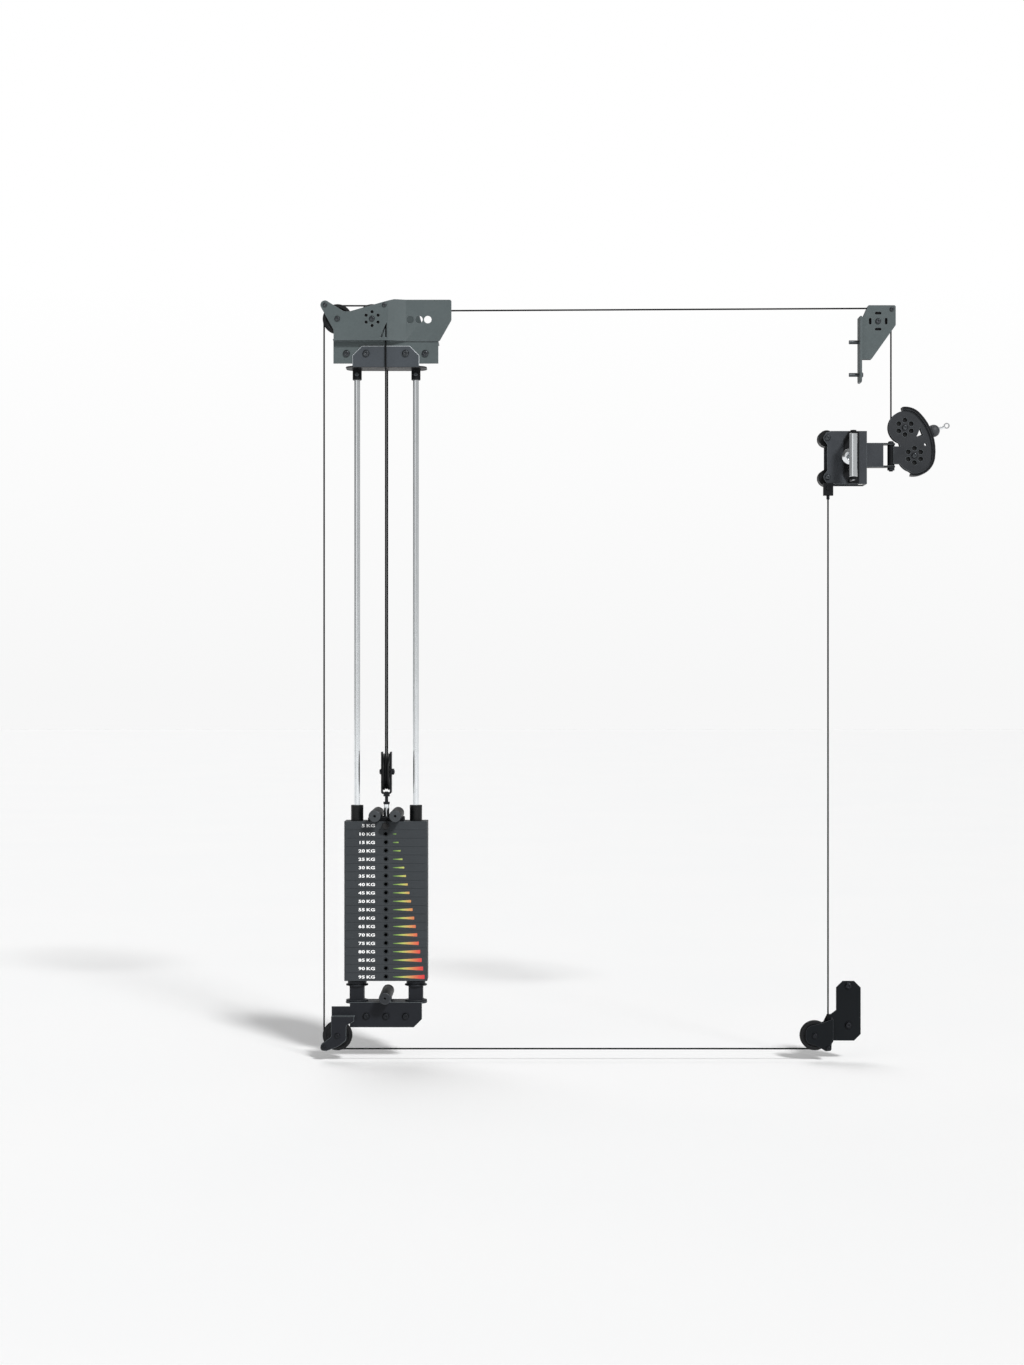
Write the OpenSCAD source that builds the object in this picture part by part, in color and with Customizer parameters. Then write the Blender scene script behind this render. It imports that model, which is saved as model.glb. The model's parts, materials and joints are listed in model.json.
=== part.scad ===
// Rack mounted cable pulley system: a weight stack on two guide rods under the upper side beam,
// one steel cable led round fixed pulleys, and a trolley with a swivelling pulley arm on the upright.
// Millimetres. X runs along the rack's side, Y away from the viewer, Z up. The origin is the centre
// bolt of the base bracket, on the front face of the lower beam.

/* [Rack it fits] */
// Width and depth of the rack's square tubes
beam = 75; // [72:1:80]
// Height of the upper beam's centre over the lower beam's
beam_rise = 2020; // [1980:10:2060]
// Left face of the upright that carries the trolley
upright_x = 1372.5; // [1340:0.5:1400]
// Pitch of the bolt holes in the beams
beam_pitch = 60; // [58:1:62]

/* [Cable and pulleys] */
// Diameter of the steel cable
cable_d = 5; // [4:0.5:6]
// Radius at which the cable runs on the pulleys
pitch_r = 41; // [40:0.5:42]
// Height of a pulley's rim over the cable's centre line
rim_over = 4; // [3.5:0.5:4]
// Width of a pulley
pulley_w = 17; // [15:0.5:17]
// Distance of the cable's planes from the beam's faces
cable_out = 14; // [14:0.5:16]
// Left pulleys' distance from the middle of the stack
outer_x = 146.5; // [142:0.5:152]
// Height of the top pulleys' axles over the upper beam
top_lift = 65.5; // [62:0.5:70]
// Drop of the low pulleys' axles under the lower beam's centre
low_drop = 56.5; // [54:0.5:60]
// Outer diameter of a pulley's ball bearing
bearing_d = 26; // [24:1:28]

/* [Weight stack] */
// Number of weight plates, the head plate included
plate_count = 19; // [12:1:19]
// Width of a weight plate
plate_w = 253; // [240:1:260]
// Depth of a weight plate
plate_d = 100; // [90:1:100]
// Thickness of a weight plate
plate_h = 25.2; // [24:0.2:25.4]
// Distance between the two guide rods
rod_gap = 180; // [176:1:184]
// Diameter of a guide rod
rod_d = 18; // [16:1:20]
// Height of the base posts, without their flanges
post_h = 43.5; // [38:0.5:48]
// Diameter of the selector stem
stem_d = 24; // [22:1:26]
// Diameter of the selector pin
pin_d = 10; // [8:0.5:10]
// Diameter of an add-on bar
bar_d = 37; // [32:1:37]
// Length of an add-on bar
bar_len = 210; // [180:5:230]

/* [Brackets] */
// Thickness of the pulley plates
plate_t = 4; // [3:0.5:4]
// Thickness of the base and foot brackets
heavy_t = 5; // [4:0.5:5]
// Half length of the top bracket's deck
deck_half = 160; // [156:1:164]
// Height of the top bracket's side plates over the beam
side_rise = 126; // [120:0.5:130]

/* [Trolley] */
// Drop of the lock pin, which sets where the trolley stands, under the upper beam's centre
trolley_drop = 317; // [310:1:500]
// Height of the trolley's frame
trolley_h = 162; // [156:1:170]
// Diameter of a trolley wheel
wheel_d = 51; // [48:1:52]
// Diameter of the lock pin
lock_d = 16; // [14:0.5:18]
// Diameter of the trolley's grip bar
grip_d = 25; // [22:1:28]

/* [Arm] */
// Height of the upper arm pulley over the hinge
arm_up = 85; // [84:0.5:90]
// Angle of the line through the two arm pulleys, down from level
arm_lean = 71.4; // [68:0.2:74]
// Rise of the cable's exit over level
exit_angle = 21; // [19:0.5:23]
// Outer radius of the guard round each arm pulley
guard_r = 63; // [60:0.5:66]
// Radius of the guard's long arc between the two pulleys
guard_bow = 165; // [150:1:190]
// Width of the guard
guard_w = 40; // [34:1:44]
// Radius of the ball stop
ball_r = 19; // [17:0.5:21]

/* [Fasteners] */
// Diameter of the mounting bolts
mount_d = 12; // [10:0.5:14]
// How far the mounting bolts reach into the rack's tubes
mount_reach = 30; // [24:1:60]
// Diameter of the pulley bolts
axle_d = 10; // [8:0.5:11]

/* [Hidden] */
$fn = 48;

steel_grey = "#4b5154";
dark_grey = "#2b2e30";
black = "#17181a";
chrome = "#d3d7da";

// Fits
side_gap = 0.5;      // between a pulley and the plates beside it
run_fit = 0.05;      // radial, round a turning shaft
loose_fit = 0.15;    // radial, round a fixed bolt or rod
slide_fit = 0.3;     // between faces that slide past each other
eps = 1;             // how far a cutter runs past a face

// Planes
mid_y = beam / 2;
near_y = -cable_out;
rear_y = beam + cable_out;
axle_half = pulley_w / 2 + side_gap;
top_z = beam_rise + beam / 2;
low_z = beam_rise - beam / 2;
base_z = beam / 2 + heavy_t;

// Pulleys
cable_r = cable_d / 2;
groove_r = cable_r + 0.4;
rim_r = pitch_r + rim_over;
lift_r = mid_y + cable_out;
lift_w = 20;
bearing_r = bearing_d / 2;
axle_r = axle_d / 2;
keeper_r = 4;
keeper_at = rim_r + 11;
axle_z = top_z + top_lift;
in_x = -pitch_r;
rear_x = pitch_r;
foot_x = upright_x - 67;
corner_x = upright_x + beam + 57.5;
trolley_x = foot_x + pitch_r;
swivel_x = corner_x + pitch_r;
// Each fixed pulley: axle x and z, the plane it turns in, and the direction of its cable keeper
TOP_OUTER = [-outer_x, axle_z, near_y, 132];
TOP_INNER = [in_x, axle_z, near_y, 48];
TOP_REAR = [rear_x, axle_z, rear_y, 132];
CORNER = [corner_x, axle_z, mid_y, 41];
FOOT = [foot_x, -low_drop, near_y, -43];
BASE = [-outer_x, -low_drop, near_y, 221];
FIXED = [TOP_OUTER, TOP_INNER, TOP_REAR, CORNER, FOOT, BASE];

// Stack
gap_h = 0.4;
plate_pitch = plate_h + gap_h;
flange_r = 34;
flange_h = 4;
bump_h = 13;
stack_z = base_z + 2 * flange_h + post_h + bump_h + 1;
head_z = stack_z + (plate_count - 1) * plate_pitch;
stack_top = head_z + plate_h;
rod_r = rod_d / 2;
rod_x = rod_gap / 2;
stem_r = stem_d / 2;
pin_r = pin_d / 2;
bar_r = bar_d / 2;
bar_x = bar_r + 12.5;
yoke_z = stack_top + 82;
yoke_half = lift_w / 2 + 1;
yoke_t = 5;
yoke_w = 44;
float_z = yoke_z + 68;

// Brackets
bolt_z = [0, beam_rise];
mount_r = mount_d / 2;
neck_r = mount_r + 0.5;
front_y = near_y - axle_half - plate_t;
right_y = -plate_t - 5;
bend = [8, 60];      // where the top bracket's near plate bends back towards the beam
tray_t = 5;
inner_half = 102;
inner_top = beam_rise + 23;
tray_half = rod_x + flange_r;
socket_r = 14;
socket_h = 34;
corner_face = upright_x + beam;
corner_bolts = [beam_rise - 60, beam_rise + 40];
foot_bolts = [93, -27];
foot_mid = upright_x + beam / 2;
foot_fold = foot_x + rim_r + 10.5;

// Trolley
trolley_z = beam_rise - trolley_drop;
wheel_r = wheel_d / 2;
wheel_w = 40;
wheel_x = upright_x - wheel_r - slide_fit;
wheel_z = 60;
frame_y = [-1 - plate_t, beam + 1];
frame_right = corner_face + 19;
lock_x = foot_mid;
lock_r = lock_d / 2;
boss_r = lock_r + 7;
boss_y = frame_y[0] - 3;
knob_y = boss_y - 18;
grip_x = lock_x + 4;
grip_y = -85;
grip_half = 65;
hinge_z = trolley_z + 10;
lug_z = 32;
lug_t = 5;
lug_half = 20;
box_right = frame_right + 53.5;
swivel_r = mount_r;
barrel_r = swivel_r + 5;
anchor_z = trolley_z - trolley_h / 2 - 36;

// Arm
arm_y = [mid_y - axle_half - plate_t, mid_y + axle_half];
upper_at = [swivel_x + pitch_r, hinge_z + arm_up];
arm_span = 2 * rim_r + 0.8;
lower_at = upper_at + arm_span * [cos(arm_lean), -sin(arm_lean)];
bow_rise = sqrt(pow(guard_bow - guard_r, 2) - pow(arm_span / 2, 2));
bow_at = (upper_at + lower_at) / 2 - bow_rise * [sin(arm_lean), cos(arm_lean)];
guard_t = 9;
lobe_r = pitch_r + 9.5;
exit_dir = [cos(exit_angle), sin(exit_angle)];
exit_from = upper_at + pitch_r * [sin(exit_angle), -cos(exit_angle)];
// Where the cable's exit line meets the circle of the guard's long arc
exit_b = (exit_from - bow_at) * exit_dir;
exit_c = (exit_from - bow_at) * (exit_from - bow_at) - guard_bow * guard_bow;
exit_len = sqrt(exit_b * exit_b - exit_c) - exit_b;
mouth = exit_from + exit_len * exit_dir;
ball_cut = 8;
ball_at = exit_len + slide_fit;

function unit(v) = v / norm(v);
function flat(p) = [p.x, p.y];
function turn(a, b) = ((b - a) % 360 + 540) % 360 - 180;
// Points of one rounded corner q between p and s
function corner(p, q, s, r, n) = r <= 0 ? [flat(q)] :
    let (u = unit(flat(p) - flat(q)), v = unit(flat(s) - flat(q)), half = acos(u * v) / 2,
        c = flat(q) + unit(u + v) * r / sin(half),
        a = flat(q) + u * r / tan(half) - c, b = flat(q) + v * r / tan(half) - c,
        from = atan2(a.y, a.x), by = turn(from, atan2(b.y, b.x)))
    [for (i = [0:n]) c + r * [cos(from + by * i / n), sin(from + by * i / n)]];
// An outline from corners given as [x, y, radius]
function rounded(p, n = 5) = [for (i = [0:len(p) - 1])
    each corner(p[(i + len(p) - 1) % len(p)], p[i], p[(i + 1) % len(p)], p[i][2], n)];
function arc(c, r, from, to, n) = [for (i = [0:n]) let (a = from + (to - from) * i / n)
    [c.x + r * cos(a), c.y + r * sin(a)]];
function keeper(p) = [p[0] + keeper_at * cos(p[3]), p[1] + keeper_at * sin(p[3])];

// A flat plate drawn in X and Z, lying from y to y + t
module sheet_xz(y, t) translate([0, y + t, 0]) rotate([90, 0, 0]) linear_extrude(t) children();
// A flat plate drawn in Y and Z, lying from x to x + t
module sheet_yz(x, t) translate([x, 0, 0]) rotate([90, 0, 90]) linear_extrude(t) children();
module rod_in_y(at, r, y0, y1) translate([at.x, y1, at.y]) rotate([90, 0, 0]) cylinder(r = r, h = y1 - y0);
module block(x, y, z) translate([x[0], y[0], z[0]]) cube([x[1] - x[0], y[1] - y[0], z[1] - z[0]]);

// A button-head screw along +Z, head from 0 down, with a hexagonal socket
module screw(r, length, head = 1.7) {
    difference() {
        union() {
            translate([0, 0, -r * 0.6]) cylinder(r = r * head, h = r * 0.6);
            translate([0, 0, -r * 1.1]) cylinder(r1 = r * head * 0.72, r2 = r * head, h = r * 0.5);
        }
        translate([0, 0, -r * 1.1 - eps]) cylinder(r = r * 0.62, h = r * 0.6 + eps, $fn = 6);
    }
    cylinder(r = r, h = length);
}
// A hexagonal nut along +Z, seated at 0
module nut(r) difference() {
    cylinder(r = r * 1.9, h = r * 1.5, $fn = 6);
    translate([0, 0, -eps]) cylinder(r = r + loose_fit, h = r * 1.5 + 2 * eps);
}
// A screw through two plates along +Y, with its nut
module through_screw(at, r, y0, y1) {
    translate([at.x, y0, at.y]) rotate([-90, 0, 0]) screw(r, y1 - y0 + r * 1.8);
    translate([at.x, y1, at.y]) rotate([-90, 0, 0]) nut(r);
}

// A grooved wheel with its axle along Z, its bore round a bearing and six pockets in each side
module wheel(pitch, w, over) {
    rim = pitch + over;
    dish = 2.5;
    pocket = 3.5;
    hub = bearing_r + 4;
    web = pitch - groove_r - 3;
    difference() {
        rotate_extrude() difference() {
            polygon([[bearing_r + run_fit, -w / 2], [hub, -w / 2], [hub + 1, dish - w / 2],
                [web - 1, dish - w / 2], [web, -w / 2], [rim - 1, -w / 2], [rim, 1 - w / 2],
                [rim, w / 2 - 1], [rim - 1, w / 2], [web, w / 2], [web - 1, w / 2 - dish],
                [hub + 1, w / 2 - dish], [hub, w / 2], [bearing_r + run_fit, w / 2]]);
            translate([pitch, 0]) circle(r = groove_r);
            polygon([[pitch, -groove_r], [rim + eps, -groove_r - 3], [rim + eps, groove_r + 3],
                [pitch, groove_r]]);
        }
        for (i = [0:5], z = [-w / 2 - eps, w / 2 - dish - pocket]) rotate(i * 60)
            translate([(hub + web) / 2, 0, z]) cylinder(r = (web - hub) / 2 - 2.5, h = dish + pocket + eps);
    }
}
module wheel_at(p) color(black) translate([p[0], p[2], p[1]]) rotate([90, 0, 0])
    wheel(pitch_r, pulley_w, rim_over);
// The bearing between a wheel and its bolt, a little narrower than the wheel
module bearing(w, r) difference() {
    cylinder(r = bearing_r, h = w - 0.6, center = true);
    cylinder(r = r + loose_fit, h = w + 2 * eps, center = true);
}

// Cable pieces. A length of cable between two points
module cable_line(a, b) {
    d = b - a;
    translate(a) rotate([0, acos(d.z / norm(d)), atan2(d.y, d.x)]) cylinder(r = cable_r, h = norm(d));
}
// A stretch of cable on a pulley at [x, z], in the plane y, between two directions in X and Z
module cable_arc(at, y, from, to) translate([at.x, y, at.y]) rotate([90, 0, 0])
    rotate([0, 0, from]) rotate_extrude(angle = to - from) translate([pitch_r, 0]) circle(r = cable_r);

// Outline of the top bracket's side plates, with the keeper's ear on the left
module top_side(left, right) {
    e = keeper(TOP_OUTER);
    r = keeper_r + 10;
    top = top_z + side_rise;
    intersection() {
        union() {
            polygon(rounded([[-deck_half + 2, top_z, 0], [deck_half + 4, top_z, 4],
                [deck_half + 40, axle_z - 2, 14], [deck_half + 40, top, 6], [26, top, 30],
                [in_x - 31, axle_z + 33, 60], [-outer_x + 36, axle_z + 22, 16],
                [-outer_x + 20, axle_z + 22, 12], [e.x + r * cos(48), e.y + r * sin(48), 0],
                [e.x + r * cos(215), e.y + r * sin(215), 0], [-deck_half + 2, axle_z - 34, 10]]));
            translate(e) circle(r = r);
        }
        translate([left, top_z]) square([right - left, side_rise]);
    }
}
// Plan of the near side plate, which steps back from the pulleys' plane towards the flange
module near_plan(far) polygon([[-far, front_y], [bend[0], front_y], [bend[1], right_y], [far, right_y],
    [far, right_y + plate_t], [bend[1], right_y + plate_t], [bend[0], front_y + plate_t], [-far, front_y + plate_t]]);
// Outline of the two rear plates, hidden behind the near one
module rear_side() polygon(rounded([[in_x, top_z, 0], [deck_half - 50, top_z, 0], [deck_half - 50, axle_z - 10, 14],
    [rear_x + rim_r + 3, top_z + side_rise, 14], [26, top_z + side_rise, 30], [in_x, axle_z + 42, 6]]));
module top_bracket() color(steel_grey) difference() {
    union() {
        translate([0, 0, top_z]) linear_extrude(plate_t) polygon([[-deck_half, front_y], [bend[0], front_y],
            [bend[1], right_y], [deck_half, right_y], [deck_half, rear_y + axle_half + plate_t],
            [-deck_half, rear_y + axle_half + plate_t]]);
        block([-deck_half, deck_half], [-plate_t, 0], [low_z + 7, top_z + plate_t]);
        intersection() {
            translate([0, 0, top_z - eps]) linear_extrude(side_rise + 2 * eps) near_plan(2 * deck_half);
            sheet_xz(front_y - eps, -front_y + 2 * eps) top_side(-2 * deck_half, 2 * deck_half);
        }
        sheet_xz(near_y + axle_half, plate_t) top_side(-2 * deck_half, -in_x);
        for (y = [rear_y - axle_half - plate_t, rear_y + axle_half]) sheet_xz(y, plate_t) rear_side();
    }
    for (p = [TOP_OUTER, TOP_INNER, TOP_REAR]) {
        rod_in_y(p, axle_r + loose_fit, p[2] - axle_half - plate_t - eps, p[2] + axle_half + plate_t + eps);
        rod_in_y(keeper(p), keeper_r + loose_fit, p[2] - axle_half - plate_t - eps,
            p[2] + axle_half + plate_t + eps);
    }
    for (y = [near_y, rear_y]) translate([0, y, top_z - eps]) cylinder(r = 8, h = plate_t + 2 * eps);
    for (s = [-2, -1, 1, 2]) rod_in_y([s * beam_pitch, beam_rise], neck_r + loose_fit, -plate_t - eps, eps);
    // six holes round the inner pulley's bolt, a forked slit where the plate bends, and three plain
    // lightening holes
    for (i = [0:5]) rod_in_y([in_x + 21 * sin(60 * i), axle_z + 21 * cos(60 * i)], 4.8,
        front_y - eps, front_y + plate_t + eps);
    sheet_xz(front_y - eps, plate_t + 2 * eps) polygon([[-17, top_z + 9], [-10, top_z + 9], [-1, top_z + 38],
        [-1, top_z + 9], [3.5, top_z + 9], [3.5, top_z + 56]]);
    for (i = [0:2]) rod_in_y([bend[1] + 14 + 27 * i, axle_z], 11.5, right_y - eps, right_y + plate_t + eps);
}

// The tray that hangs the guide rods under the beam, its front flange over the top bracket's
module rod_hanger() color(steel_grey) difference() {
    union() {
        translate([0, 0, low_z - tray_t]) linear_extrude(tray_t) polygon(rounded([
            [-tray_half, -2 * plate_t, 30], [tray_half, -2 * plate_t, 30],
            [tray_half, beam + 8, 30], [-tray_half, beam + 8, 30]]));
        sheet_xz(-2 * plate_t, plate_t) polygon([[-inner_half, low_z - tray_t], [inner_half, low_z - tray_t],
            [inner_half, inner_top - 29], [inner_half - 29, inner_top], [29 - inner_half, inner_top],
            [-inner_half, inner_top - 29]]);
        for (s = [-1, 1]) translate([s * rod_x, mid_y, low_z - tray_t - socket_h])
            cylinder(r = socket_r, h = socket_h + eps);
    }
    for (s = [-1, 1]) {
        translate([s * rod_x, mid_y, low_z - tray_t - socket_h - eps])
            cylinder(r = rod_r + loose_fit, h = socket_h + tray_t - 1);
        rod_in_y([s * rod_x, low_z - tray_t - socket_h / 2], 4 + loose_fit,
            mid_y - socket_r - eps, mid_y - rod_r / 2);
        rod_in_y([s * beam_pitch, beam_rise], neck_r + loose_fit, -2 * plate_t - eps, eps);
    }
}

// The bracket at the top of the upright: a face plate and two cheeks round the pulley
module corner_bracket() {
    cheek = mid_y - axle_half - plate_t;
    px = corner_x;
    color(steel_grey) difference() {
        union() {
            sheet_yz(corner_face, 6) polygon(rounded([[6, beam_rise - 85, 12], [beam - 6, beam_rise - 85, 12],
                [beam - 6, axle_z + 14, 4], [6, axle_z + 14, 4]]));
            for (y = [cheek, mid_y + axle_half]) sheet_xz(y, plate_t) polygon(rounded([
                [corner_face + 3, beam_rise - 13, 0], [px - 20, beam_rise - 13, 3],
                [px + 54, axle_z - 12, 3], [px + 54, axle_z + 49, 5],
                [px - 30, axle_z + 49, 3], [corner_face + 12, axle_z + 14, 3], [corner_face + 3, axle_z + 14, 0]]));
        }
        rod_in_y(CORNER, axle_r + loose_fit, cheek - eps, mid_y + axle_half + plate_t + eps);
        rod_in_y(keeper(CORNER), keeper_r + loose_fit, cheek - eps, mid_y + axle_half + plate_t + eps);
        for (z = corner_bolts) translate([corner_face - eps, mid_y, z]) rotate([0, 90, 0])
            cylinder(r = neck_r + loose_fit, h = 6 + 2 * eps);
        // four slots round the bolt
        for (i = [0:3]) translate([px, 0, axle_z]) rotate([0, i * 90, 0]) translate([0, 0, 24.5]) {
            block([-6, 6], [cheek - eps, cheek + plate_t + eps], [-4, 4]);
            for (s = [-6, 6]) rod_in_y([s, 0], 4, cheek - eps, cheek + plate_t + eps);
        }
    }
}

// Outline of the foot bracket's outer cheek, which reaches from the fold to the pulley and its keeper
module foot_cheek() {
    k = keeper(FOOT);
    polygon(rounded([[foot_x + 28, FOOT[1] + 40, 6], [foot_fold, FOOT[1] + 51, 0],
        [foot_fold, FOOT[1] - 18, 0], [k.x + 10, k.y + 14, 4], [k.x + 9, k.y - 8, 6], [k.x - 9, k.y - 9, 6],
        [foot_x + 4, FOOT[1] - 30, 26], [foot_x - 30, FOOT[1] - 22, 22], [foot_x - 26, FOOT[1] + 26, 22]]));
}
module foot_bracket() color(dark_grey) difference() {
    union() {
        sheet_xz(-heavy_t, heavy_t) union() {
            polygon([[upright_x, FOOT[1] - 18], [corner_face - 20, FOOT[1] - 18], [corner_face, FOOT[1] + 2],
                [corner_face, 87.5], [corner_face - 20, 107.5], [upright_x + 20, 107.5], [upright_x, 87.5],
                [upright_x, FOOT[1] + 75], [upright_x - 16, FOOT[1] + 63], [upright_x - 28, FOOT[1] + 63],
                [foot_x + 28, FOOT[1] + 40], [foot_x + 40, FOOT[1] - 18]]);
            foot_cheek();
        }
        sheet_xz(near_y - axle_half - plate_t, plate_t) foot_cheek();
        block([foot_fold - plate_t, foot_fold], [near_y - axle_half - plate_t, 0], [FOOT[1] - 18, FOOT[1] + 51]);
    }
    rod_in_y(FOOT, axle_r + loose_fit, near_y - axle_half - plate_t - eps, eps);
    rod_in_y(keeper(FOOT), keeper_r + loose_fit, near_y - axle_half - plate_t - eps, eps);
    for (z = foot_bolts) rod_in_y([foot_mid, z], neck_r + loose_fit, -heavy_t - eps, eps);
}

// Outline of the base pulley's cheeks
module base_cheek(top, right) {
    k = keeper(BASE);
    x = BASE[0];
    z = BASE[1];
    polygon(rounded([[x - 19, top, 0], [right, top, 0], [right, -13, 3], [x + 27, -26, 6],
        [x + 27, z - 14, 14], [x + 4, z - 32, 16], [k.x + 9, k.y - 10, 6], [k.x - 10, k.y - 8, 8],
        [k.x - 8, k.y + 9, 6], [x - 19, z - 4, 10]]));
}
module base_bracket() color(dark_grey) difference() {
    union() {
        translate([0, 0, beam / 2]) linear_extrude(heavy_t) polygon(rounded([
            [-rod_x - flange_r, -heavy_t, 30], [rod_x + flange_r, -heavy_t, 30],
            [rod_x + flange_r, beam + heavy_t, 30], [-rod_x - flange_r, beam + heavy_t, 30]]));
        sheet_xz(-heavy_t, heavy_t) polygon([[-110, -34], [85, -34], [110, -9], [110, base_z],
            [-110, base_z]]);
        sheet_xz(-heavy_t, heavy_t) base_cheek(30, -110 + eps);
        sheet_xz(near_y - axle_half - plate_t, plate_t) base_cheek(2, -96);
        block([BASE[0] - 19, -96], [near_y - axle_half - plate_t, -heavy_t + eps], [-2, 2]);
        // rests that keep the spare add-on bar from rolling
        for (y = [4, beam - 10]) block([-15, 15], [y, y + 6], [beam / 2 + eps, base_z + 7]);
    }
    rod_in_y(BASE, axle_r + loose_fit, near_y - axle_half - plate_t - eps, eps);
    rod_in_y(keeper(BASE), keeper_r + loose_fit, near_y - axle_half - plate_t - eps, eps);
    for (s = [-1:1]) rod_in_y([s * beam_pitch, 0], neck_r + loose_fit, -heavy_t - eps, eps);
    rod_in_y([0, base_z + bar_r + slide_fit], bar_r + loose_fit, -eps, beam + eps);
}

// The bolts that hold the brackets to the rack, with a shoulder as long as the plates they go through
module mount_screw(t, head = 1.6) {
    screw(neck_r, t, head);
    cylinder(r = mount_r, h = t + mount_reach);
}
module mount_bolts() color(steel_grey) {
    for (s = [-1:1]) translate([s * beam_pitch, -heavy_t, 0]) rotate([-90, 0, 0]) mount_screw(heavy_t);
    for (s = [-2, 2]) translate([s * beam_pitch, -plate_t, beam_rise]) rotate([-90, 0, 0]) mount_screw(plate_t);
    for (s = [-1, 1]) translate([s * beam_pitch, -2 * plate_t, beam_rise]) rotate([-90, 0, 0])
        mount_screw(2 * plate_t);
    for (z = foot_bolts) translate([foot_mid, -heavy_t, z]) rotate([-90, 0, 0]) mount_screw(heavy_t);
    for (z = corner_bolts) translate([corner_face + 6, mid_y, z]) rotate([0, -90, 0]) mount_screw(6, 1.3);
}

// Axle and keeper screws of the fixed pulleys
module pulley_bolts() color(steel_grey) for (p = FIXED) {
    near = p[2] - axle_half - plate_t;
    low = p == FOOT || p == BASE;
    far = low ? 0 : p[2] + axle_half + plate_t;
    for (r = [axle_r, keeper_r]) {
        at = r == axle_r ? [p[0], p[1]] : keeper(p);
        if (low) translate([at.x, near, at.y]) rotate([-90, 0, 0]) screw(r, far - near);
        else through_screw(at, r, near, far);
    }
}
module pulley_bearings() color(chrome) for (p = FIXED) translate([p[0], p[2], p[1]]) rotate([90, 0, 0])
    bearing(pulley_w, axle_r);

module guide_rods() color(chrome) for (s = [-1, 1]) translate([s * rod_x, mid_y, base_z + 6])
    cylinder(r = rod_r, h = low_z - tray_t - base_z - 12);
module rod_screws() color(steel_grey) for (s = [-1, 1])
    translate([s * rod_x, mid_y - socket_r, low_z - tray_t - socket_h / 2]) rotate([-90, 0, 0])
        screw(4, socket_r - rod_r - loose_fit, 1.6);

// Two square posts with round flanges, bored for the rods
module base_posts() color(dark_grey) for (s = [-1, 1]) translate([s * rod_x, mid_y, base_z]) difference() {
    union() {
        cylinder(r = flange_r, h = flange_h);
        translate([-22, -22, flange_h - 0.5]) cube([44, 44, post_h + 1]);
        translate([0, 0, flange_h + post_h]) cylinder(r = flange_r, h = flange_h);
    }
    translate([0, 0, 5]) cylinder(r = rod_r + loose_fit, h = post_h + 2 * flange_h);
}
module bump_stops() color(black) for (s = [-1, 1])
    translate([s * rod_x, mid_y, base_z + 2 * flange_h + post_h]) difference() {
        union() {
            cylinder(r = 29, h = bump_h - 3);
            translate([0, 0, bump_h - 3]) cylinder(r1 = 29, r2 = 26, h = 3);
        }
        translate([0, 0, -eps]) cylinder(r = rod_r + 2 * loose_fit, h = bump_h + 2 * eps);
    }

// An add-on bar along Y, with two grooves near its far end
module bar() translate([0, mid_y + bar_len / 2, 0]) rotate([90, 0, 0]) difference() {
    union() {
        cylinder(r1 = bar_r - 2, r2 = bar_r, h = 2);
        translate([0, 0, 2]) cylinder(r = bar_r, h = bar_len - 4);
        translate([0, 0, bar_len - 2]) cylinder(r1 = bar_r, r2 = bar_r - 2, h = 2);
    }
    for (z = [14, 26]) translate([0, 0, z]) difference() {
        cylinder(r = bar_r + eps, h = 4);
        translate([0, 0, -eps]) cylinder(r = bar_r - 2, h = 4 + 2 * eps);
    }
    translate([0, 0, bar_len - 8]) cylinder(r = 4, h = 8 + eps);
}
module base_bar() color(dark_grey) translate([0, 0, base_z + bar_r + slide_fit]) bar();
module head_bars() color(dark_grey) for (s = [-1, 1]) translate([s * bar_x, 0, stack_top + bar_r + slide_fit]) bar();

// One weight plate, with rod and stem holes and the pin's hole from the front
module plate() difference() {
    linear_extrude(plate_h) polygon(rounded([[-plate_w / 2, mid_y - plate_d / 2, 3],
        [plate_w / 2, mid_y - plate_d / 2, 3], [plate_w / 2, mid_y + plate_d / 2, 3],
        [-plate_w / 2, mid_y + plate_d / 2, 3]], 2));
    for (s = [-1, 1]) translate([s * rod_x, mid_y, -eps]) cylinder(r = rod_r + 2, h = plate_h + 2 * eps);
    translate([0, mid_y, -eps]) cylinder(r = stem_r + 1, h = plate_h + 2 * eps);
    rod_in_y([0, plate_h / 2], pin_r + 0.5, mid_y - plate_d / 2 - eps, mid_y);
    rod_in_y([0, plate_h / 2], pin_r + 3.5, mid_y - plate_d / 2 - eps, mid_y - plate_d / 2 + 3);
}
module weight_plates() color(dark_grey) for (i = [0:plate_count - 2])
    translate([0, 0, stack_z + i * plate_pitch]) plate();
// The head plate has tight holes for the bushings and the stem
module head_plate() color(dark_grey) translate([0, 0, head_z]) difference() {
    linear_extrude(plate_h) polygon(rounded([[-plate_w / 2, mid_y - plate_d / 2, 3],
        [plate_w / 2, mid_y - plate_d / 2, 3], [plate_w / 2, mid_y + plate_d / 2, 3],
        [-plate_w / 2, mid_y + plate_d / 2, 3]], 2));
    for (s = [-1, 1]) translate([s * rod_x, mid_y, -eps]) cylinder(r = rod_r + 5 + loose_fit, h = plate_h + 2 * eps);
    translate([0, mid_y, -eps]) cylinder(r = stem_r + loose_fit, h = plate_h + 2 * eps);
    rod_in_y([0, plate_h / 2], pin_r + 0.3, mid_y - plate_d / 2 - eps, mid_y + stem_r + 25);
    rod_in_y([0, plate_h / 2], pin_r + 3.5, mid_y - plate_d / 2 - eps, mid_y - plate_d / 2 + 3);
}
module guide_bushings() color(black) for (s = [-1, 1]) translate([s * rod_x, mid_y, head_z + 1]) difference() {
    union() {
        cylinder(r = rod_r + 5, h = plate_h);
        translate([0, 0, plate_h - 1]) cylinder(r = rod_r + 10, h = 48);
    }
    translate([0, 0, -eps]) cylinder(r = rod_r + slide_fit, h = plate_h + 48 + eps);
}

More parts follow.
